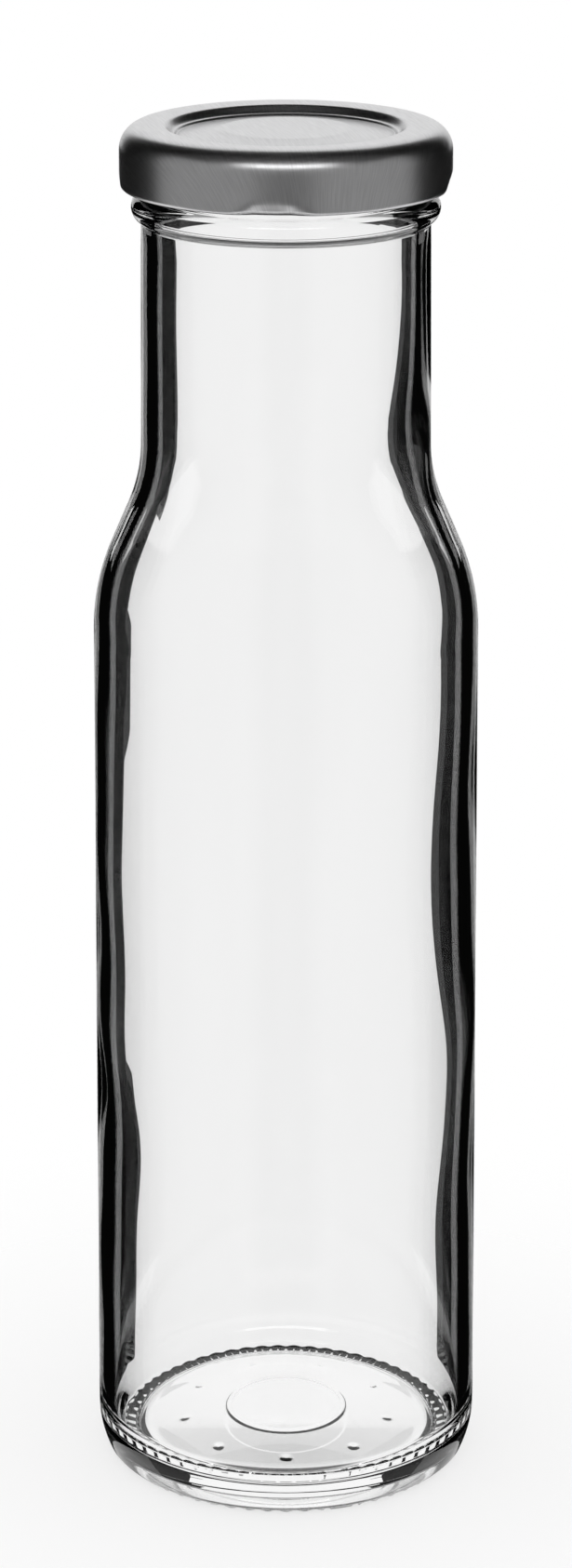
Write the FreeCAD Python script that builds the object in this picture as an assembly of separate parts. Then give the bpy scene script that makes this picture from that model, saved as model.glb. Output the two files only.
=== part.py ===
import FreeCAD, Part
import math
import os

# An empty clear-glass sauce bottle with a narrow straight body, a long neck and a silver
# twist-off metal cap, which is on and closed.  Millimetres, +Z up.  The origin is on the
# bottle's axis, in the plane that it stands on.  The side that the camera sees is towards -Y.

Vector = FreeCAD.Vector
AXIS = Vector(0, 0, 1)
ORIGIN = Vector(0, 0, 0)
FRONT = -90.0  # polar angle of the front, in degrees from +X

# ---- Glass: outside ----
body_radius = 26.75  # where the shoulder starts
body_flare = 0.35  # how much wider the body is at the top of the heel
body_height = 122.0  # from the standing plane to the shoulder
shoulder_height = 26.6
shoulder_straight = 6.1  # flank between the shoulder's two arcs
shoulder_convex_share = 0.58  # of the two arcs' radii together
neck_radius = 20.0  # where the shoulder ends
neck_taper = 0.2  # how much narrower the neck is under the bead
neck_length = 30.9
bead_height = 3.7
bead_depth = 1.3  # how far the bead stands out from the neck
finish_height = 9.1  # from the bead to the sealing rim
finish_inset = 0.25  # the finish is this much slimmer than the neck

# ---- Glass: heel and base ----
heel_radius = 14.0  # long arc, up to the body
heel_turn = 23.0  # degrees that the long arc turns
heel_corner = 0.8  # short arc, down to the standing ring
ring_width = 2.8  # of the standing ring
ring_inner_slope = 0.9  # radial run of the ring's inner side
kick_edge = 1.8  # height of the hollow base where it meets the ring
kick_height = 3.0  # height of the hollow base on the axis
knurl_count = 60  # bars under the standing ring
knurl_depth = 0.35
knurl_gap = 1.5  # width of the notch between two bars
wide_knurl = 3  # the wide bar, counted from the front towards +X
wide_knurl_width = 3.4

# ---- Glass: inside ----
body_wall = 2.2
neck_wall = 2.3
inner_heel_radius = 4.5
base_wall = 3.3  # thinnest glass over the standing plane
floor_rise = 3.0  # how much the floor rises to its middle

# ---- Finish: rim and thread starts ----
rim_rounding = 0.7
lug_count = 4
thread_height = 1.3
thread_tilt = 4.0  # degrees, right-handed
thread_sweep = 60.0  # degrees of one thread start
thread_root = 0.4  # how deep a start is sunk into the finish
thread_clearance = 0.15  # start to the cap's hem, radially
lug_engaged_at = 15.0  # degrees from a start's middle to the lug under it

# ---- Cap ----
sheet = 0.3
hem_radius = 0.8  # rolled hem at the skirt's lower edge
hem_above_bead = 0.85
cap_clearance = 1.5  # between the finish and the hem
cap_shoulder = 3.0  # arc from skirt to land
land_width = 3.0  # flat top over the rim
panel_slope = 0.9  # radial run from the land down to the groove
panel_depth = 1.4
groove_width = 0.7
button_radius = 9.3
button_rise = 0.9
lug_width = 26.0  # degrees
lug_lift = 0.2  # lug's underside over the hem's lowest edge
lug_height = 1.2
lug_clearance = 0.55  # lug to the finish, radially
lug_under_thread = 0.12  # lug to its thread start, along the axis
lug_turned = -4.6  # degrees of the first lug from the front, towards +X positive
lug_press_height = 1.5  # the outside pressed in over a lug
lug_press_depth = 0.6

# ---- Worked out from the sizes above ----
foot_radius = body_radius + body_flare
standing_radius = (
    foot_radius
    - heel_radius * (1 - math.cos(math.radians(heel_turn)))
    - heel_corner * math.cos(math.radians(heel_turn))
)
shoulder_top = body_height + shoulder_height
bead_bottom = shoulder_top + neck_length
bead_top = bead_bottom + bead_height
rim_z = bead_top + finish_height
neck_top_radius = neck_radius - neck_taper
finish_radius = neck_top_radius - finish_inset
bore_radius = neck_top_radius - neck_wall
hem_inner_radius = finish_radius + cap_clearance
skirt_radius = hem_inner_radius + 2 * hem_radius
cap_bottom = bead_top + hem_above_bead
cap_top = rim_z + sheet
lug_bottom = cap_bottom + lug_lift
lug_top = lug_bottom + lug_height


class Outline:
    """Edges in the r-z half plane, drawn from one point to the next."""

    def __init__(self, r, z):
        self.start = (r, z)
        self.at = (r, z)
        self.edges = []

    def line_to(self, r, z):
        self.edges.append(Part.LineSegment(point(*self.at), point(r, z)).toShape())
        self.at = (r, z)

    def arc_through(self, middle, end):
        self.edges.append(Part.Arc(point(*self.at), point(*middle), point(*end)).toShape())
        self.at = end

    def arc_about(self, centre, degrees):
        middle = turned(self.at, centre, degrees / 2)
        end = turned(self.at, centre, degrees)
        self.arc_through(middle, end)

    def face(self):
        self.line_to(*self.start)
        return Part.Face(Part.Wire(self.edges))


def point(r, z):
    return Vector(r, 0, z)


def turned(at, centre, degrees):
    """The point turned about a centre in the r-z plane, anticlockwise for positive degrees."""
    angle = math.radians(degrees)
    r, z = at[0] - centre[0], at[1] - centre[1]
    return (
        centre[0] + r * math.cos(angle) - z * math.sin(angle),
        centre[1] + r * math.sin(angle) + z * math.cos(angle),
    )


def ring(r_inner, r_outer, z_low, z_high, sweep=360.0):
    """A ring of rectangular section, or a sector of it that starts at polar angle 0."""
    outline = Outline(r_inner, z_low)
    outline.line_to(r_outer, z_low)
    outline.line_to(r_outer, z_high)
    outline.line_to(r_inner, z_high)
    return outline.face().revolve(ORIGIN, AXIS, sweep)


def about_axis(shape, degrees):
    copy = shape.copy()
    copy.rotate(ORIGIN, AXIS, degrees)
    return copy


def s_curve_arcs(r_wide, r_narrow):
    """Turn of the shoulder's arcs in degrees, and their two radii together."""
    step = r_wide - r_narrow
    turn = 2 * math.atan(step / (shoulder_height + shoulder_straight))
    radii = (shoulder_height - shoulder_straight * math.cos(turn)) / math.sin(turn)
    return math.degrees(turn), radii


def outer_shoulder_radii():
    turn, radii = s_curve_arcs(body_radius, neck_radius)
    convex = radii * shoulder_convex_share
    return turn, convex, radii - convex


def draw_outer_shoulder(outline):
    """From the body up to the neck: convex arc, straight flank, concave arc."""
    turn, convex, concave = outer_shoulder_radii()
    outline.arc_about((body_radius - convex, body_height), turn)
    flank_end = turned(
        (neck_radius, shoulder_top), (neck_radius + concave, shoulder_top), turn
    )
    outline.line_to(*flank_end)
    outline.arc_about((neck_radius + concave, shoulder_top), -turn)


def draw_inner_shoulder(outline, r_body, r_neck):
    """From the neck down to the body, one wall inside the outer shoulder."""
    turn, radii = s_curve_arcs(r_body, r_neck)
    concave = outer_shoulder_radii()[2] + neck_wall
    convex = radii - concave
    outline.arc_about((r_neck + concave, shoulder_top), turn)
    flank_end = turned((r_body, body_height), (r_body - convex, body_height), turn)
    outline.line_to(*flank_end)
    outline.arc_about((r_body - convex, body_height), -turn)


def draw_base(outline):
    """From the axis outwards under the base, then round the heel up to the body."""
    turn = math.radians(heel_turn)
    r_kick = standing_radius - ring_width - ring_inner_slope
    z_heel = heel_corner * (1 - math.sin(turn)) + heel_radius * math.sin(turn)
    rise = kick_height - kick_edge
    dome = (r_kick**2 + rise**2) / (2 * rise)
    half_way = math.sqrt(dome**2 - (r_kick / 2) ** 2) - (dome - kick_height)
    outline.arc_through((r_kick / 2, half_way), (r_kick, kick_edge))
    outline.line_to(standing_radius - ring_width, 0)
    outline.line_to(standing_radius, 0)
    outline.arc_about((standing_radius, heel_corner), 90 - heel_turn)
    outline.arc_about((foot_radius - heel_radius, z_heel), heel_turn)


def draw_bead(outline):
    middle = (neck_top_radius + bead_depth, bead_bottom + bead_height / 2)
    outline.arc_through(middle, (neck_top_radius, bead_top))


def draw_rim(outline):
    outline.line_to(finish_radius, rim_z - rim_rounding)
    outline.arc_about((finish_radius - rim_rounding, rim_z - rim_rounding), 90)
    outline.line_to(bore_radius + rim_rounding, rim_z)
    outline.arc_about((bore_radius + rim_rounding, rim_z - rim_rounding), 90)


def draw_inside(outline):
    """Down the bore and the body, round the inner heel and up to the middle of the floor."""
    r_neck = neck_radius - neck_wall
    r_body = body_radius - body_wall
    r_low = r_body + body_flare
    outline.line_to(r_neck, shoulder_top)
    draw_inner_shoulder(outline, r_body, r_neck)
    heel_centre = (r_low - inner_heel_radius, base_wall + inner_heel_radius)
    outline.line_to(r_low, heel_centre[1])
    floor_top = base_wall + floor_rise
    drop = heel_centre[1] - floor_top
    dome = (heel_centre[0] ** 2 + drop**2 - inner_heel_radius**2) / (2 * floor_rise)
    slope = math.degrees(math.asin(heel_centre[0] / (dome + inner_heel_radius)))
    outline.arc_about(heel_centre, -(90 + slope))
    outline.arc_about((0, floor_top - dome), slope)


def knurl_notches():
    """Round-bottomed notches across the standing ring, which leave the bars between them."""
    cutter_radius = (knurl_gap**2 / 4 + knurl_depth**2) / (2 * knurl_depth)
    pitch = 360.0 / knurl_count
    cutters = []
    for number in range(knurl_count):
        low = Vector(0, 0, knurl_depth - cutter_radius)
        cutter = Part.makeCylinder(cutter_radius, 2 * body_radius, low, Vector(1, 0, 0))
        cutters.append(about_axis(cutter, FRONT + (number + 0.5) * pitch))
    core = Part.makeCylinder(body_radius / 2, 4 * cutter_radius, Vector(0, 0, -2 * cutter_radius))
    return Part.makeCompound(cutters).cut(core)


def wide_bar():
    sweep = math.degrees(wide_knurl_width / standing_radius)
    bar = ring(standing_radius - ring_width, standing_radius, 0, 2 * knurl_depth, sweep)
    return about_axis(bar, FRONT + wide_knurl * 360.0 / knurl_count - sweep / 2)


def thread_start():
    """One start, its middle at polar angle 0, tilted about its own radius."""
    half_lug = math.radians(lug_engaged_at + lug_width / 2)
    drop = skirt_radius * math.sin(half_lug) * math.tan(math.radians(thread_tilt))
    z_low = lug_top + lug_under_thread + drop
    r_outer = hem_inner_radius - thread_clearance
    start = ring(finish_radius - thread_root, r_outer, z_low, z_low + thread_height, thread_sweep)
    start.rotate(ORIGIN, AXIS, -thread_sweep / 2)
    start.rotate(Vector(0, 0, z_low), Vector(1, 0, 0), thread_tilt)
    return start


def make_bottle():
    outline = Outline(0, kick_height)
    draw_base(outline)
    outline.line_to(body_radius, body_height)
    draw_outer_shoulder(outline)
    outline.line_to(neck_top_radius, bead_bottom)
    draw_bead(outline)
    outline.line_to(finish_radius, bead_top)
    draw_rim(outline)
    draw_inside(outline)
    glass = outline.face().revolve(ORIGIN, AXIS, 360)
    glass = glass.cut(knurl_notches()).fuse(wide_bar())
    for number in range(lug_count):
        lug_angle = FRONT + lug_turned + number * 360.0 / lug_count
        glass = glass.fuse(about_axis(thread_start(), lug_angle + lug_engaged_at))
    return glass


def cap_shell():
    """Pressed sheet: button, groove, land, shoulder, skirt and rolled hem."""
    r_land = skirt_radius - cap_shoulder
    r_slope = r_land - land_width
    r_groove = r_slope - panel_slope
    groove_z = cap_top - panel_depth
    hem_centre = (skirt_radius - hem_radius, cap_bottom + hem_radius)
    inner_skirt = skirt_radius - sheet
    hem_top = hem_centre[1] + math.sqrt(hem_radius**2 - (inner_skirt - hem_centre[0]) ** 2)
    outline = Outline(0, groove_z + button_rise)
    outline.line_to(button_radius, groove_z + button_rise)
    outline.line_to(r_groove - groove_width, groove_z)
    outline.line_to(r_groove, groove_z)
    outline.line_to(r_slope, cap_top)
    outline.line_to(r_land, cap_top)
    outline.arc_about((r_land, cap_top - cap_shoulder), -90)
    outline.line_to(skirt_radius, hem_centre[1])
    outline.arc_through((hem_centre[0], cap_bottom), (hem_centre[0] - hem_radius, hem_centre[1]))
    outline.arc_through((hem_centre[0], hem_centre[1] + hem_radius), (inner_skirt, hem_top))
    outline.line_to(inner_skirt, cap_top - cap_shoulder)
    outline.arc_about((r_land, cap_top - cap_shoulder), 90)
    outline.line_to(r_slope + sheet / 2, cap_top - sheet)
    outline.line_to(r_groove + sheet / 2, groove_z - sheet)
    outline.line_to(r_groove - groove_width, groove_z - sheet)
    outline.line_to(button_radius, groove_z + button_rise - sheet)
    outline.line_to(0, groove_z + button_rise - sheet)
    return outline.face().revolve(ORIGIN, AXIS, 360)


def lug():
    """One lug, its middle at polar angle 0: the hem flattened inwards under a thread start."""
    r_inner = finish_radius + lug_clearance
    shape = ring(r_inner, skirt_radius - hem_radius, lug_bottom, lug_top, lug_width)
    return about_axis(shape, -lug_width / 2)


def lug_press():
    """What is taken off the outside of the hem over one lug."""
    outline = Outline(skirt_radius, cap_bottom + lug_press_height)
    outline.line_to(skirt_radius - lug_press_depth, cap_bottom)
    outline.line_to(skirt_radius - lug_press_depth, cap_bottom - hem_radius)
    outline.line_to(skirt_radius + hem_radius, cap_bottom - hem_radius)
    outline.line_to(skirt_radius + hem_radius, cap_bottom + lug_press_height)
    return about_axis(outline.face().revolve(ORIGIN, AXIS, lug_width), -lug_width / 2)


def make_cap():
    cap = cap_shell()
    for number in range(lug_count):
        angle = FRONT + lug_turned + number * 360.0 / lug_count
        cap = cap.fuse(about_axis(lug(), angle))
        cap = cap.cut(about_axis(lug_press(), angle))
    return cap


def export(node, shape):
    shape = shape.removeSplitter()
    solids = shape.Solids
    box = shape.BoundBox
    print(f"{node}: solids {len(solids)}, valid {shape.isValid()}, volume {shape.Volume:.1f} mm3")
    print(f"  x {box.XMin:.2f} {box.XMax:.2f}, z {box.ZMin:.2f} {box.ZMax:.2f}")
    solids[0].exportStep(f"parts/{node}.step")


def main():
    os.makedirs("parts", exist_ok=True)
    export("bottle", make_bottle())
    export("cap", make_cap())


main()
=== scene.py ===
import math

import bpy
import numpy as np
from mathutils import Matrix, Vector


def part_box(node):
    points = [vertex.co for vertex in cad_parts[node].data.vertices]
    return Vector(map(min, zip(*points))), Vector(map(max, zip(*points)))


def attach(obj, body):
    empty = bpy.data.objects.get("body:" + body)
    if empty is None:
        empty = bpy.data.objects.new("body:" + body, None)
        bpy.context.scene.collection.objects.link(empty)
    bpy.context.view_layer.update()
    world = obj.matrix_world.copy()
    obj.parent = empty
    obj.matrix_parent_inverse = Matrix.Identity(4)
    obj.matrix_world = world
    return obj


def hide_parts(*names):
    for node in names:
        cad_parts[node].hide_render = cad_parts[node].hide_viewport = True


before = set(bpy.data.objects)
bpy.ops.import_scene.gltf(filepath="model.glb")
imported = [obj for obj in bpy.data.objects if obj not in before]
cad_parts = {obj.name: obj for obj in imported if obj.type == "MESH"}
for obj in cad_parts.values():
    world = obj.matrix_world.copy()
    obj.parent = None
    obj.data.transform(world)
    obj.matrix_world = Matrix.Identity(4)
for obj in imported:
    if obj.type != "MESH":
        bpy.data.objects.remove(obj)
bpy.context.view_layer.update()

# An empty sauce bottle of clear glass with a silver twist-off cap.  The mesh code works in
# millimetres and the finished meshes are in metres.  The front of the bottle is towards -Y,
# and angles round the bottle are in degrees from the front, positive towards +X.  An outline
# is a list of points (r, z): the distance from the bottle's axis and the height.

MM = 0.001

# ---- Sizes taken from the frame ----
bottle_high = Vector(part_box("bottle")[1]) / MM
cap_low, cap_high = (Vector(corner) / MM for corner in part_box("cap"))
foot_radius = bottle_high.x
rim_z = bottle_high.z
skirt_radius = cap_high.x
cap_bottom = cap_low.z
cap_top = cap_high.z

# ---- Glass, outside ----
body_flare = 0.35  # the foot's radius less the radius at the top of the body
body_radius = foot_radius - body_flare
body_height = 122.0
shoulder_height = 26.6
shoulder_straight = 6.1  # length of the straight stretch between its two arcs
shoulder_convex_share = 0.58  # the lower arc's share of the two radii
shoulder_top = body_height + shoulder_height
neck_radius = 20.0
neck_top_radius = 19.8
neck_length = 30.9
bead_bottom = shoulder_top + neck_length
bead_height = 3.7
bead_depth = 1.3
bead_fillet = 0.5
finish_radius = 19.55
rim_rounding = 0.7
heel_radius = 14.0  # long arc, up to the body
heel_turn = 23.0  # degrees that the long arc turns
heel_corner = 0.8  # short arc, down to the standing ring
seam_at = -53.5
seam_height = 0.03
seam_width = 0.4

# ---- Glass, base ----
knurl_count = 60  # bars under the standing ring
knurl_depth = 0.35
knurl_share = 0.56  # half width of a bar against the pitch
wide_knurl = 3  # the wide bar, counted from the front towards +X
wide_knurl_width = 3.4
knurled_heel_rows = 14  # rows of the heel outline that the bars run out into
ring_width = 2.8
ring_end = 0.45  # rounding at the bars' inner ends
kick_edge = 1.8  # height of the hollow base at its edge
kick_height = 3.0  # height of the hollow base on the axis
kick_power = 2
kick_slope_run = 0.9
mark_ring_radius = 8.0
mark_height = 0.16
mark_width = 0.7
mark_dots = 9
mark_dots_radius = 14.5
mark_dot_radius = 0.8

# ---- Glass, inside ----
body_wall = 2.2
neck_wall = 2.3
inner_heel_radius = 4.5
base_wall = 3.3  # height of the lowest part of the floor, which is near its edge
floor_rise = 3.0  # how much the floor rises to its middle
# Swells of the inner wall: most millimetres inwards, height of the middle, reach up and down.
sideways_swells = ((0.32, 87.0, 19.0), (-0.15, 48.0, 13.0))
oval_swells = ((0.12, 62.0, 9.0), (-0.07, 38.0, 12.0))
right_swells = ((0.27, 151.0, 6.0), (-0.22, 172.0, 12.0))
right_swells_at = 65.0
right_swells_reach = 29.0  # degrees round the neck
ripple_height = 0.012
ripple_length = 23.0

# ---- Cap ----
sheet = 0.22
hem_radius = 0.8
cap_shoulder_run = 3.1
cap_shoulder_drop = 3.4
land_inner_radius = 15.9
panel_slope = 0.9
panel_depth = 1.4
groove_width = 0.5
button_radius = 9.3
button_rise = 0.85
lug_count = 4
lug_turned = -4.6  # degrees from the front to the nearest lug
lug_width = 26.0  # degrees
lug_fade = 3.0  # degrees more at each side
lug_press_height = 2.1
lug_press_depth = 0.9
grain_turned = 14.0  # degrees that the rolling direction is turned from the front

# ---- Points round each surface ----
ROUND = 240
ROUND_FINE = 720
ROUND_CAP = 360

# ---- Studio, degrees and metres ----
camera_distance = 0.6047  # from the bottle's axis, along the table
camera_height = 0.29707
camera_pitch = 14.0
camera_lens = 103.87
camera_shift = -0.2093
card_distance = 20.0
card_step = 3.0  # degrees between a card's points
# Half widths of the studio's parts, from straight behind the bottle.
window = 11.6  # the white background below the skyline
wide_window = 24.0  # and above it
dim_left = 0.9  # width of the grey edge between white and black
dim_right = 2.4
flag_end = 82.0
roof_end = 138.0
wall_end = 158.0
# Half widths from straight in front of it.
front_half = 15.0
softbox_half = 33.0
# Elevations above the horizon.
wall_foot = -65.0
ground = -32.0
skyline = -6.0
roof = 36.0
softbox_top = 46.0
back_roof = 50.0
zenith = 90.0


# ======================= Small tools =======================


def linear(hex_colour):
    """A #RRGGBB colour as linear RGBA."""
    values = [int(hex_colour[i : i + 2], 16) / 255 for i in (1, 3, 5)]
    return [v / 12.92 if v <= 0.04045 else ((v + 0.055) / 1.055) ** 2.4 for v in values] + [1.0]


def add_node(tree, kind, values=None, links=None, **settings):
    """Adds a node, sets its input values and its settings, and links its inputs."""
    node = tree.nodes.new(kind)
    for name, value in settings.items():
        setattr(node, name, value)
    for name, value in (values or {}).items():
        node.inputs[name].default_value = value
    for name, socket in (links or {}).items():
        tree.links.new(socket, node.inputs[name])
    return node


def new_material(name):
    """An empty node material and its tree."""
    material = bpy.data.materials.new(name)
    material.use_nodes = True
    material.node_tree.nodes.clear()
    return material, material.node_tree


def new_object(name, verts, faces):
    mesh = bpy.data.meshes.new(name)
    mesh.from_pydata(verts, [], faces)
    item = bpy.data.objects.new(name, mesh)
    bpy.context.scene.collection.objects.link(item)
    return item


def smooth_step(low, high, x):
    """0 below low, 1 above high, and a smooth rise between them."""
    t = np.clip((x - low) / (high - low), 0.0, 1.0)
    return t * t * (3 - 2 * t)


def bump_at(x, centre, half_width):
    """A raised-cosine bump, 1 at the centre and 0 past the half width."""
    t = np.clip(np.abs(x - centre) / half_width, 0.0, 1.0)
    return 0.5 + 0.5 * np.cos(np.pi * t)


def stretched_noise(tree, vector, size, detail, roughness):
    """A noise pattern whose features measure about size, in the units of the vector."""
    stretch = add_node(
        tree,
        "ShaderNodeVectorMath",
        {1: [1 / length for length in size]},
        {0: vector},
        operation="MULTIPLY",
    )
    noise = add_node(
        tree,
        "ShaderNodeTexNoise",
        {"Scale": 1.0, "Detail": detail, "Roughness": roughness},
        {"Vector": stretch.outputs["Vector"]},
    )
    return noise.outputs["Fac"]


def angle_from(angle, centre):
    """Signed distance between angles, in degrees."""
    return (np.asarray(angle) - centre + 180.0) % 360.0 - 180.0


class Outline:
    """Points in the r-z half plane, close enough together for smooth shading."""

    def __init__(self, r, z):
        self.points = [(r, z)]

    def line_to(self, r, z, step=3.0):
        """A straight stretch, with points at most a step apart, in millimetres."""
        r0, z0 = self.points[-1]
        count = max(1, math.ceil(math.hypot(r - r0, z - z0) / step))
        for i in range(1, count + 1):
            self.points.append((r0 + (r - r0) * i / count, z0 + (z - z0) * i / count))

    def arc_about(self, centre, degrees, step=2.5):
        """An arc, anticlockwise where degrees is positive, with points a step apart."""
        r0, z0 = self.points[-1][0] - centre[0], self.points[-1][1] - centre[1]
        count = max(2, math.ceil(abs(degrees) / step))
        for i in range(1, count + 1):
            a = math.radians(degrees * i / count)
            r = centre[0] + r0 * math.cos(a) - z0 * math.sin(a)
            z = centre[1] + r0 * math.sin(a) + z0 * math.cos(a)
            self.points.append((r, z))

    def array(self):
        return np.array(self.points)


def turned(at, centre, degrees):
    """A point turned about a centre."""
    a = math.radians(degrees)
    r, z = at[0] - centre[0], at[1] - centre[1]
    return (
        centre[0] + r * math.cos(a) - z * math.sin(a),
        centre[1] + r * math.sin(a) + z * math.cos(a),
    )


def lathe(name, bands):
    """A surface of revolution from bands of rows.

    A band is (outline points, points round, relief).  The relief takes arrays of r, z and
    angle and returns the new r and z.  Bands follow each other, and a row on the axis is one
    point.  A change in the number of points round is bridged with triangles."""
    verts, faces, rows = [], [], []
    total = 0
    for points, count, relief in bands:
        angles = np.arange(count) * 360.0 / count
        for r, z in points:
            if r < 1e-6:
                verts.append(np.array([[0.0, 0.0, z]]))
                rows.append((total, 1))
                total += 1
                continue
            radius, height = relief(np.full(count, r), np.full(count, z), angles)
            a = np.radians(angles)
            verts.append(np.stack([radius * np.sin(a), -radius * np.cos(a), height], axis=1))
            rows.append((total, count))
            total += count
    for (start_a, n_a), (start_b, n_b) in zip(rows, rows[1:]):
        faces.extend(strip(start_a, n_a, start_b, n_b))
    piece = new_object(name, (np.concatenate(verts) * MM).tolist(), faces)
    piece.data.polygons.foreach_set("use_smooth", [True] * len(piece.data.polygons))
    piece.data.update()
    return piece


def strip(start_a, n_a, start_b, n_b):
    """Faces between two rows of one surface."""
    if n_a == n_b:
        return [
            (start_a + i, start_a + (i + 1) % n_a, start_b + (i + 1) % n_a, start_b + i)
            for i in range(n_a)
        ]
    if n_a == 1:
        return [(start_a, start_b + (i + 1) % n_b, start_b + i) for i in range(n_b)]
    if n_b == 1:
        return [(start_a + i, start_a + (i + 1) % n_a, start_b) for i in range(n_a)]
    if n_a > n_b:
        return [tuple(reversed(face)) for face in strip(start_b, n_b, start_a, n_a)]
    ratio = n_b // n_a
    faces = []
    for i in range(n_a):
        fan = [start_b + (i * ratio + j) % n_b for j in range(ratio + 1)]
        half = ratio // 2
        near, far = start_a + i, start_a + (i + 1) % n_a
        faces.extend((near, fan[j + 1], fan[j]) for j in range(half))
        faces.append((near, far, fan[half]))
        faces.extend((far, fan[j + 1], fan[j]) for j in range(half, ratio))
    return faces


def join_bands(*outlines):
    """Drops each outline's first point, which repeats the last one of the outline before."""
    return [outlines[0]] + [points[1:] for points in outlines[1:]]


# ======================= The glass =======================


def s_curve_arcs(r_wide, r_narrow):
    """The shoulder's two arcs: the degrees that each turns, and the sum of their radii."""
    step = r_wide - r_narrow
    turn = 2 * math.atan(step / (shoulder_height + shoulder_straight))
    radii = (shoulder_height - shoulder_straight * math.cos(turn)) / math.sin(turn)
    return math.degrees(turn), radii


def outer_outline():
    """From the top of the heel up to the sealing rim."""
    turn, radii = s_curve_arcs(body_radius, neck_radius)
    convex = radii * shoulder_convex_share
    concave = radii - convex
    line = Outline(foot_radius, heel_top())
    line.line_to(body_radius, body_height)
    line.arc_about((body_radius - convex, body_height), turn, 1.5)
    centre = (neck_radius + concave, shoulder_top)
    line.line_to(*turned((neck_radius, shoulder_top), centre, turn), step=1.0)
    line.arc_about(centre, -turn, 1.5)
    draw_neck_and_bead(line)
    line.line_to(finish_radius, rim_z - rim_rounding)
    line.arc_about((finish_radius - rim_rounding, rim_z - rim_rounding), 90, 10)
    return line.array()


def draw_neck_and_bead(line):
    """Up the neck, then over the bead with a fillet at each side."""
    half = bead_height / 2
    radius = (half**2 + bead_depth**2) / (2 * bead_depth)
    centre = (neck_top_radius + bead_depth - radius, bead_bottom + half)
    for side, wall in ((-1, neck_top_radius), (1, finish_radius)):
        aside = wall + bead_fillet - centre[0]
        reach = math.sqrt((radius + bead_fillet) ** 2 - aside**2)
        fillet = (wall + bead_fillet, centre[1] + side * reach)
        angle = math.degrees(math.acos(aside / (radius + bead_fillet)))
        if side < 0:
            line.line_to(wall, fillet[1])
            line.arc_about(fillet, -angle, 8)
            line.arc_about(centre, angle, 4)
        else:
            line.arc_about(centre, angle, 4)
            line.arc_about(fillet, -angle, 8)


def heel_top():
    """Height at which the heel's long arc meets the body."""
    turn = math.radians(heel_turn)
    return heel_corner * (1 - math.sin(turn)) + heel_radius * math.sin(turn) + knurl_depth


def standing_radius():
    """Outer radius of the standing ring, where the heel begins."""
    turn = math.radians(heel_turn)
    return foot_radius - heel_radius * (1 - math.cos(turn)) - heel_corner * math.cos(turn)


def heel_outline():
    """From the standing ring's outer edge up to the top of the heel."""
    line = Outline(standing_radius(), knurl_depth)
    line.arc_about((standing_radius(), knurl_depth + heel_corner), 90 - heel_turn, 6)
    line.arc_about((foot_radius - heel_radius, heel_top()), heel_turn, 1.5)
    return line.array()


def kick_outline():
    """From the axis outwards under the hollow base, to the foot of the ring's inner side."""
    r_edge = standing_radius() - ring_width - kick_slope_run
    rise = kick_height - kick_edge
    first_row = 0.6
    r = np.concatenate([[0.0], np.linspace(first_row, r_edge, 60)])
    return np.stack([r, kick_height - rise * (r / r_edge) ** kick_power], axis=1)


def ring_outline():
    """Across the underside of the standing ring, from the hollow base outwards."""
    r_out = standing_radius()
    r_in = r_out - ring_width
    line = Outline(r_in - kick_slope_run, kick_edge)
    line.line_to(r_in - 0.2, knurl_depth + 0.12, step=0.12)
    line.line_to(r_in, knurl_depth, step=0.12)
    line.line_to(r_out, knurl_depth, step=0.14)
    return line.array()


def inner_outline():
    """From the rim down the bore and the body to the middle of the floor."""
    r_bore = neck_top_radius - neck_wall
    r_neck = neck_radius - neck_wall
    r_body = body_radius - body_wall
    r_low = r_body + body_flare
    turn, radii = s_curve_arcs(r_body, r_neck)
    outer_radii = s_curve_arcs(body_radius, neck_radius)[1]
    concave = outer_radii * (1 - shoulder_convex_share) + neck_wall
    convex = radii - concave
    line = Outline(finish_radius - rim_rounding, rim_z)
    line.line_to(r_bore + rim_rounding, rim_z)
    line.arc_about((r_bore + rim_rounding, rim_z - rim_rounding), 90, 10)
    line.line_to(r_neck, shoulder_top, step=2.0)
    line.arc_about((r_neck + concave, shoulder_top), turn, 1.5)
    centre = (r_body - convex, body_height)
    line.line_to(*turned((r_body, body_height), centre, turn), step=1.0)
    line.arc_about(centre, -turn, 1.5)
    heel_centre = (r_low - inner_heel_radius, base_wall + inner_heel_radius)
    line.line_to(r_low, heel_centre[1], step=1.6)
    floor_top = base_wall + floor_rise
    drop = heel_centre[1] - floor_top
    dome = (heel_centre[0] ** 2 + drop**2 - inner_heel_radius**2) / (2 * floor_rise)
    slope = math.asin(heel_centre[0] / (dome + inner_heel_radius))
    line.arc_about(heel_centre, -(90 + math.degrees(slope)), 3)
    for share in np.linspace(0, 1, 40)[1:]:
        a = slope * (1 - share)
        line.points.append((dome * math.sin(a), floor_top - dome + dome * math.cos(a)))
    line.points[-1] = (0.0, floor_top)
    return line.array()


def seam_relief(r, z, angle):
    """The mould's parting line: a fine ridge on both sides, from the heel to the finish."""
    fade = smooth_step(3.0, 7.0, z)
    ridge = np.zeros_like(r)
    for side in (0.0, 180.0):
        arc = np.radians(angle_from(angle, seam_at + side)) * r
        ridge += np.exp(-((arc / (seam_width / 2)) ** 2))
    return r + seam_height * ridge * fade, z


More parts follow.
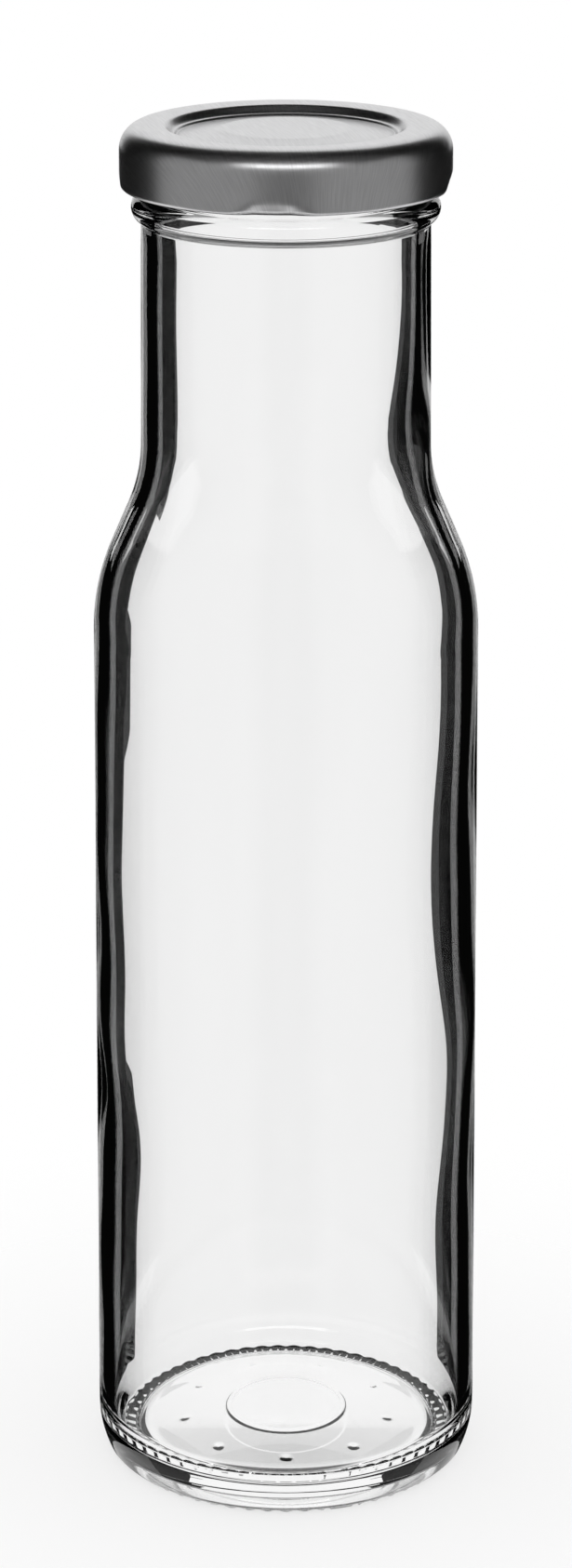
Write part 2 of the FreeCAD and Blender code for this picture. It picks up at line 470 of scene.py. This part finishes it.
def knurl_relief(r, z, angle):
    """Rounded bars across the standing ring, one of them wide."""
    pitch = 360.0 / knurl_count
    r_out = standing_radius()
    r_in = r_out - ring_width
    along = smooth_step(r_in - 0.1, r_in + ring_end, r)
    along = along * (1 - smooth_step(r_out - 0.1, r_out + 0.35, r))
    in_pitch = angle_from(angle, 0.0) % pitch
    in_pitch = np.minimum(in_pitch, pitch - in_pitch)
    bar = bump_at(in_pitch, 0.0, pitch * knurl_share)
    wide = np.abs(angle_from(angle, wide_knurl * pitch))
    half_wide = math.degrees(wide_knurl_width / 2 / r_out)
    flat = 1 - smooth_step(half_wide - 0.5, half_wide + 0.5, wide)
    bar = np.where(wide < pitch, flat, bar)
    return r, z - knurl_depth * bar * along


def base_mark_relief(r, z, angle):
    """A plain raised ring with a circle of dots round it, under the hollow base."""
    raised = bump_at(r, mark_ring_radius, mark_width / 2)
    dot_turn = 360.0 / mark_dots
    nearest = angle_from(angle, 0.0) % dot_turn
    nearest = np.radians(np.minimum(nearest, dot_turn - nearest))
    away = np.sqrt((r - mark_dots_radius) ** 2 + (nearest * mark_dots_radius) ** 2)
    raised = raised + bump_at(away, 0.0, mark_dot_radius)
    return r, z - mark_height * raised


def swell(z, swells):
    """The sum of some bell-shaped swells up the wall."""
    return sum(amount * np.exp(-(((z - middle) / reach) ** 2)) for amount, middle, reach in swells)


def wall_relief(r, z, angle):
    """The blown inside: the cavity wanders off the axis and has long settle waves."""
    a = np.radians(angle)
    sideways = swell(z, sideways_swells) * np.sin(a)
    oval = swell(z, oval_swells) * np.cos(2 * a)
    right = np.exp(-((angle_from(angle, right_swells_at) / right_swells_reach) ** 2))
    right = swell(z, right_swells) * right
    ripple = ripple_height * np.sin(2 * np.pi * z / ripple_length) * np.cos(4 * a + 0.3 + z / 30.0)
    inside = smooth_step(8.0, 20.0, z) * (1 - smooth_step(176.0, 186.0, z))
    return r - sideways - oval - right + ripple * inside, z


def make_glass():
    """The whole glass as one closed skin, from under the base round the rim to the floor."""
    kick, ring, heel, body, inside = join_bands(
        kick_outline(), ring_outline(), heel_outline(), outer_outline(), inner_outline()
    )
    return lathe(
        "bottle_glass",
        [
            (kick, ROUND, base_mark_relief),
            (ring, ROUND_FINE, knurl_relief),
            (heel[:knurled_heel_rows], ROUND_FINE, knurl_relief),
            (heel[knurled_heel_rows:], ROUND, seam_relief),
            (body, ROUND, seam_relief),
            (inside, ROUND, wall_relief),
        ],
    )


def flint_glass():
    """Colourless soda-lime glass, pressed and blown, fire-polished: clear with bright edges."""
    material, tree = new_material("flint_soda_lime_glass")
    place = add_node(tree, "ShaderNodeTexCoord").outputs["Object"]
    # Melt cords: very faint streaks of another tint, 6 mm wide and drawn out 40 mm upwards.
    cords = stretched_noise(tree, place, (6 * MM, 6 * MM, 40 * MM), 2.0, 0.5)
    tint = add_node(
        tree,
        "ShaderNodeMix",
        {"A": linear("#FFFFFF"), "B": linear("#FDFDFD")},
        {"Factor": cords},
        data_type="RGBA",
    )
    # Mould skin: shallow unevenness 9 mm across, which makes edges of reflections wander.
    skin = stretched_noise(tree, place, (9 * MM, 9 * MM, 9 * MM), 1.0, 0.4)
    relief = add_node(
        tree,
        "ShaderNodeBump",
        {"Strength": 0.2, "Distance": 0.01 * MM},
        {"Height": skin},
    )
    shader = add_node(
        tree,
        "ShaderNodeBsdfPrincipled",
        {"Roughness": 0.0, "IOR": 1.52, "Transmission Weight": 1.0},
        {"Base Color": tint.outputs["Result"], "Normal": relief.outputs["Normal"]},
    )
    add_node(tree, "ShaderNodeOutputMaterial", links={"Surface": shader.outputs["BSDF"]})
    return material


# ======================= The cap =======================


def cap_outline():
    """Outer face from the middle of the button to the hem, then the inner face back."""
    groove_z = cap_top - panel_depth
    button_z = groove_z + button_rise
    r_groove = land_inner_radius - panel_slope
    r_land = skirt_radius - cap_shoulder_run
    r_inside = skirt_radius - sheet
    hem = (skirt_radius - hem_radius, cap_bottom + hem_radius)
    line = Outline(0.0, button_z + 0.05)
    line.line_to(button_radius - 0.5, button_z + 0.03, step=0.6)
    line.line_to(button_radius + 0.3, button_z - 0.12, step=0.2)
    line.line_to(r_groove - groove_width, groove_z + 0.05, step=0.5)
    line.arc_about((r_groove - groove_width / 2, groove_z + 0.35), 50, 10)
    line.line_to(r_groove + 0.15, groove_z + 0.25, step=0.1)
    for t in np.linspace(0, 1, 15)[1:]:
        r = r_groove + 0.15 + (panel_slope + 0.6) * t
        line.points.append((r, groove_z + 0.25 + (panel_depth - 0.35) * smooth_step(0.0, 1.0, t)))
    r_edge, z_edge = line.points[-1]
    for t in np.linspace(0, 1, 12)[1:]:
        rise = (cap_top - z_edge) * math.sin(t * math.pi / 2)
        line.points.append((r_edge + (r_land - r_edge) * t, z_edge + rise))
    draw_cap_shoulder(line, np.linspace(0, 1, 28)[1:], 0.0)
    line.line_to(skirt_radius, hem[1] + 0.2, step=0.5)
    line.line_to(skirt_radius, hem[1], step=0.1)
    line.arc_about(hem, -270, 10)
    line.line_to(r_inside, hem[1] + hem_radius + 0.3, step=0.4)
    line.line_to(r_inside, cap_top - cap_shoulder_drop, step=1.5)
    draw_cap_shoulder(line, 1 - np.linspace(0, 1, 12)[1:], sheet)
    line.line_to(land_inner_radius + 0.6, cap_top - sheet - 0.02, step=1.0)
    line.line_to(r_groove + 0.1, groove_z - sheet, step=0.4)
    line.line_to(r_groove - groove_width, groove_z - sheet, step=0.4)
    line.line_to(button_radius, button_z - sheet - 0.1, step=1.5)
    line.line_to(0.0, button_z - sheet, step=3.0)
    line.points[-1] = (0.0, line.points[-1][1])
    return line.array()


def draw_cap_shoulder(line, shares, inset):
    """A quarter ellipse between the land, share 0, and the skirt, share 1."""
    r_land = skirt_radius - cap_shoulder_run
    run, drop = cap_shoulder_run - inset, cap_shoulder_drop - inset
    for a in shares * math.pi / 2:
        line.points.append((r_land + run * math.sin(a), cap_top - inset - drop * (1 - math.cos(a))))


def lug_relief(r, z, angle):
    """The hem pressed inwards at each lug."""
    reach = np.zeros_like(r)
    for number in range(lug_count):
        away = angle_from(angle, lug_turned + number * 360.0 / lug_count)
        reach = np.maximum(reach, bump_at(away, 0.0, lug_width / 2 + lug_fade))
    height = lug_press_height * np.sqrt(reach)
    share = 1 - smooth_step(0.0, 1.0, (z - cap_bottom) / np.maximum(height + 0.5, 0.6))
    near_skirt = smooth_step(skirt_radius - 3.0, skirt_radius - 2.0, r)
    return r - lug_press_depth * np.minimum(1.0, 1.6 * reach) * share * near_skirt, z


def store_sheet_position(piece, points, count):
    """Where each point of the cap lay in the flat blank, in mm, with x across the grain."""
    steps = np.hypot(*np.diff(points, axis=0).T)
    along = np.concatenate([[0.0], np.cumsum(steps)])
    values = []
    for (r, _z), distance in zip(points, along):
        n = 1 if r < 1e-6 else count
        a = np.radians(np.arange(n) * 360.0 / n - grain_turned)
        across, lengthwise = distance * np.sin(a), distance * np.cos(a)
        values.append(np.stack([across, lengthwise, np.zeros(n)], axis=1))
    attribute = piece.data.attributes.new("sheet", "FLOAT_VECTOR", "POINT")
    attribute.data.foreach_set("vector", np.concatenate(values).ravel())


def make_cap():
    """The pressed sheet with its rolled hem and four lugs."""
    points = cap_outline()
    cap = lathe("cap_shell", [(points, ROUND_CAP, lug_relief)])
    store_sheet_position(cap, points, ROUND_CAP)
    return cap


def rolled_tinplate():
    """Tinplate, cold rolled and clear lacquered: satin, with fine streaks along the sheet."""
    material, tree = new_material("rolled_lacquered_tinplate")
    place = add_node(tree, "ShaderNodeAttribute", attribute_name="sheet").outputs["Vector"]
    # Roll marks: lines 0.2 mm wide and 5 mm long, lighter and darker.
    grain = stretched_noise(tree, place, (0.2, 5.0, 1.0), 1.0, 0.6)
    tone = add_node(
        tree,
        "ShaderNodeMix",
        {"A": linear("#BDBDBE"), "B": linear("#E2E2E3")},
        {"Factor": grain},
        data_type="RGBA",
    )
    # Lacquer: its gloss changes a little in bands 1 mm wide.
    bands = stretched_noise(tree, place, (1.0, 14.0, 1.0), 2.0, 0.6)
    rough = add_node(
        tree,
        "ShaderNodeMapRange",
        {"From Min": 0.3, "From Max": 0.7, "To Min": 0.29, "To Max": 0.31},
        {"Value": bands},
    )
    relief = add_node(
        tree,
        "ShaderNodeBump",
        {"Strength": 0.15, "Distance": 0.01 * MM},
        {"Height": grain},
    )
    shader = add_node(
        tree,
        "ShaderNodeBsdfPrincipled",
        {"Metallic": 1.0},
        {
            "Base Color": tone.outputs["Result"],
            "Roughness": rough.outputs["Result"],
            "Normal": relief.outputs["Normal"],
        },
    )
    add_node(tree, "ShaderNodeOutputMaterial", links={"Surface": shader.outputs["BSDF"]})
    return material


# ======================= The studio =======================


def make_camera():
    camera = bpy.data.objects.new("camera", bpy.data.cameras.new("camera"))
    camera.location = (0.0, -camera_distance, camera_height)
    camera.rotation_euler = (math.radians(90 - camera_pitch), 0.0, 0.0)
    camera.data.lens = camera_lens
    camera.data.sensor_width = 36.0
    camera.data.shift_y = camera_shift
    bpy.context.scene.collection.objects.link(camera)
    bpy.context.scene.camera = camera
    return camera


def make_floor():
    """A pale table top that fades out into the white surroundings.

    For the camera most of the board is its own white, so only a faint shadow shows on it."""
    half = 3.0
    own_white = 0.7
    corners = [(-half, -half, 0), (half, -half, 0), (half, half, 0), (-half, half, 0)]
    floor = new_object("floor", corners, [(0, 1, 2, 3)])
    material, tree = new_material("matt_white_board")
    place = add_node(tree, "ShaderNodeTexCoord")
    away = add_node(
        tree, "ShaderNodeVectorMath", links={0: place.outputs["Object"]}, operation="LENGTH"
    )
    fade = add_node(
        tree,
        "ShaderNodeMapRange",
        {"From Min": 40 * MM, "From Max": 120 * MM},
        {"Value": away.outputs["Value"]},
        interpolation_type="SMOOTHSTEP",
    )
    diffuse = add_node(tree, "ShaderNodeBsdfDiffuse", {"Color": linear("#FBFBFB")})
    white = add_node(tree, "ShaderNodeEmission", {"Color": linear("#FFFFFF"), "Strength": 1.0})
    ray = add_node(tree, "ShaderNodeLightPath")
    share = add_node(
        tree, "ShaderNodeMath", {1: own_white}, {0: ray.outputs["Is Camera Ray"]}, operation="MULTIPLY"
    )
    board = add_node(
        tree,
        "ShaderNodeMixShader",
        links={0: share.outputs["Value"], 1: diffuse.outputs["BSDF"], 2: white.outputs["Emission"]},
    )
    clear = add_node(tree, "ShaderNodeBsdfTransparent")
    mix = add_node(
        tree,
        "ShaderNodeMixShader",
        links={0: fade.outputs["Result"], 1: board.outputs["Shader"], 2: clear.outputs["BSDF"]},
    )
    add_node(tree, "ShaderNodeOutputMaterial", links={"Surface": mix.outputs["Shader"]})
    floor.data.materials.append(material)
    floor.visible_transmission = False
    floor.visible_glossy = False


def make_world():
    """White all round."""
    world = bpy.data.worlds.new("white_studio")
    world.use_nodes = True
    background = world.node_tree.nodes["Background"]
    background.inputs["Color"].default_value = (1, 1, 1, 1)
    background.inputs["Strength"].default_value = 1.0
    bpy.context.scene.world = world


def show_in_reflections_only(item, material):
    """Makes a glowing card that only glass and metal see."""
    material.cycles.emission_sampling = "NONE"
    item.data.materials.append(material)
    item.visible_camera = False
    item.visible_diffuse = False
    item.visible_shadow = False


def make_card(name, camera, azimuths, elevations, colour, strength=1.0):
    """An evenly glowing card far from the bottle, which moves with the camera.

    So every view has the same light.  Azimuth 0 is straight behind the bottle, and elevation
    is above the horizon, in degrees."""
    across, up = (
        np.linspace(start, end, max(2, math.ceil(abs(end - start) / card_step) + 1))
        for start, end in (azimuths, elevations)
    )
    verts = []
    for e in np.radians(up):
        for a in np.radians(across):
            direction = (math.sin(a) * math.cos(e), math.cos(a) * math.cos(e), math.sin(e))
            verts.append([card_distance * d for d in direction])
    n = len(across)
    faces = [
        (j * n + i, j * n + i + 1, (j + 1) * n + i + 1, (j + 1) * n + i)
        for j in range(len(up) - 1)
        for i in range(n - 1)
    ]
    card = new_object(name, verts, faces)
    material, tree = new_material(name)
    glow = add_node(tree, "ShaderNodeEmission", {"Color": linear(colour), "Strength": strength})
    add_node(tree, "ShaderNodeOutputMaterial", links={"Surface": glow.outputs["Emission"]})
    show_in_reflections_only(card, material)
    card.parent = camera
    card.matrix_parent_inverse = camera.matrix_basis.inverted()


def make_cards(camera):
    """Flags and cards round the bottle, as a studio lights glass: white behind, dark beside."""
    black, above, front_grey, edge_grey = "#050505", "#383838", "#747474", "#8A8A8A"
    for side, dim in ((-1, dim_left), (1, dim_right)):
        edge = side * (window + dim)
        make_card("dim_edge", camera, (side * window, edge), (ground, skyline), "#464646")
        make_card("side_flag", camera, (edge, side * flag_end), (ground, skyline), black)
        sky = (side * wide_window, side * flag_end)
        make_card("high_flag", camera, sky, (skyline, zenith), black)
        wall = (side * flag_end, side * wall_end)
        make_card("side_wall", camera, wall, (wall_foot, roof), "#9C9C9C")
        make_card("side_roof", camera, (side * flag_end, side * roof_end), (roof, zenith), above)
    make_card("back_roof", camera, (-wide_window, wide_window), (back_roof, zenith), above)
    front = (180 - front_half, 180 + front_half)
    make_card("front", camera, front, (wall_foot, roof), front_grey)
    make_card("front_edge", camera, (wall_end, front[0]), (wall_foot, roof), edge_grey)
    make_card("front_edge", camera, (front[1], 360 - wall_end), (wall_foot, roof), edge_grey)
    softbox = (180 - softbox_half, 180 + softbox_half)
    make_card("softbox", camera, softbox, (roof, softbox_top), "#FFFFFF", 3.4)
    make_card("front_roof", camera, (roof_end, 360 - roof_end), (softbox_top, zenith), above)


def make_shade():
    """A painted shadow: a small dark disc 18 mm below the table, seen only through the base's glass.
    """
    radius, dark_radius, drop = 18 * MM, 10 * MM, 18 * MM
    rings, turns = 8, 48
    verts = [(0.0, 0.0, 0.0)]
    for ring in range(1, rings + 1):
        for turn in range(turns):
            a = 2 * math.pi * turn / turns
            r = radius * ring / rings
            verts.append((r * math.cos(a), r * math.sin(a), 0.0))
    faces = strip(0, 1, 1, turns)
    for ring in range(rings - 1):
        faces += strip(1 + ring * turns, turns, 1 + (ring + 1) * turns, turns)
    shade = new_object("shade", verts, faces)
    shade.location = (0.0, 0.0, -drop)
    material, tree = new_material("painted_shadow_disc")
    place = add_node(tree, "ShaderNodeTexCoord")
    away = add_node(
        tree, "ShaderNodeVectorMath", links={0: place.outputs["Object"]}, operation="LENGTH"
    )
    # Painted shadow: nearly black within dark_radius, fading to white at the disc's edge.
    tone = add_node(
        tree,
        "ShaderNodeMapRange",
        {"From Min": dark_radius, "From Max": radius, "To Min": 0.04, "To Max": 1.0},
        {"Value": away.outputs["Value"]},
        interpolation_type="SMOOTHSTEP",
    )
    glow = add_node(
        tree,
        "ShaderNodeEmission",
        {"Color": linear("#FFFFFF")},
        {"Strength": tone.outputs["Result"]},
    )
    add_node(tree, "ShaderNodeOutputMaterial", links={"Surface": glow.outputs["Emission"]})
    show_in_reflections_only(shade, material)


# ======================= Putting it together =======================

make_world()
camera = make_camera()
make_floor()
make_cards(camera)
make_shade()

glass = make_glass()
glass.data.materials.append(flint_glass())
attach(glass, "root")
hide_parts("bottle")

cap = make_cap()
cap.data.materials.append(rolled_tinplate())
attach(cap, "root")
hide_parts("cap")

bpy.context.scene.view_settings.view_transform = "Standard"
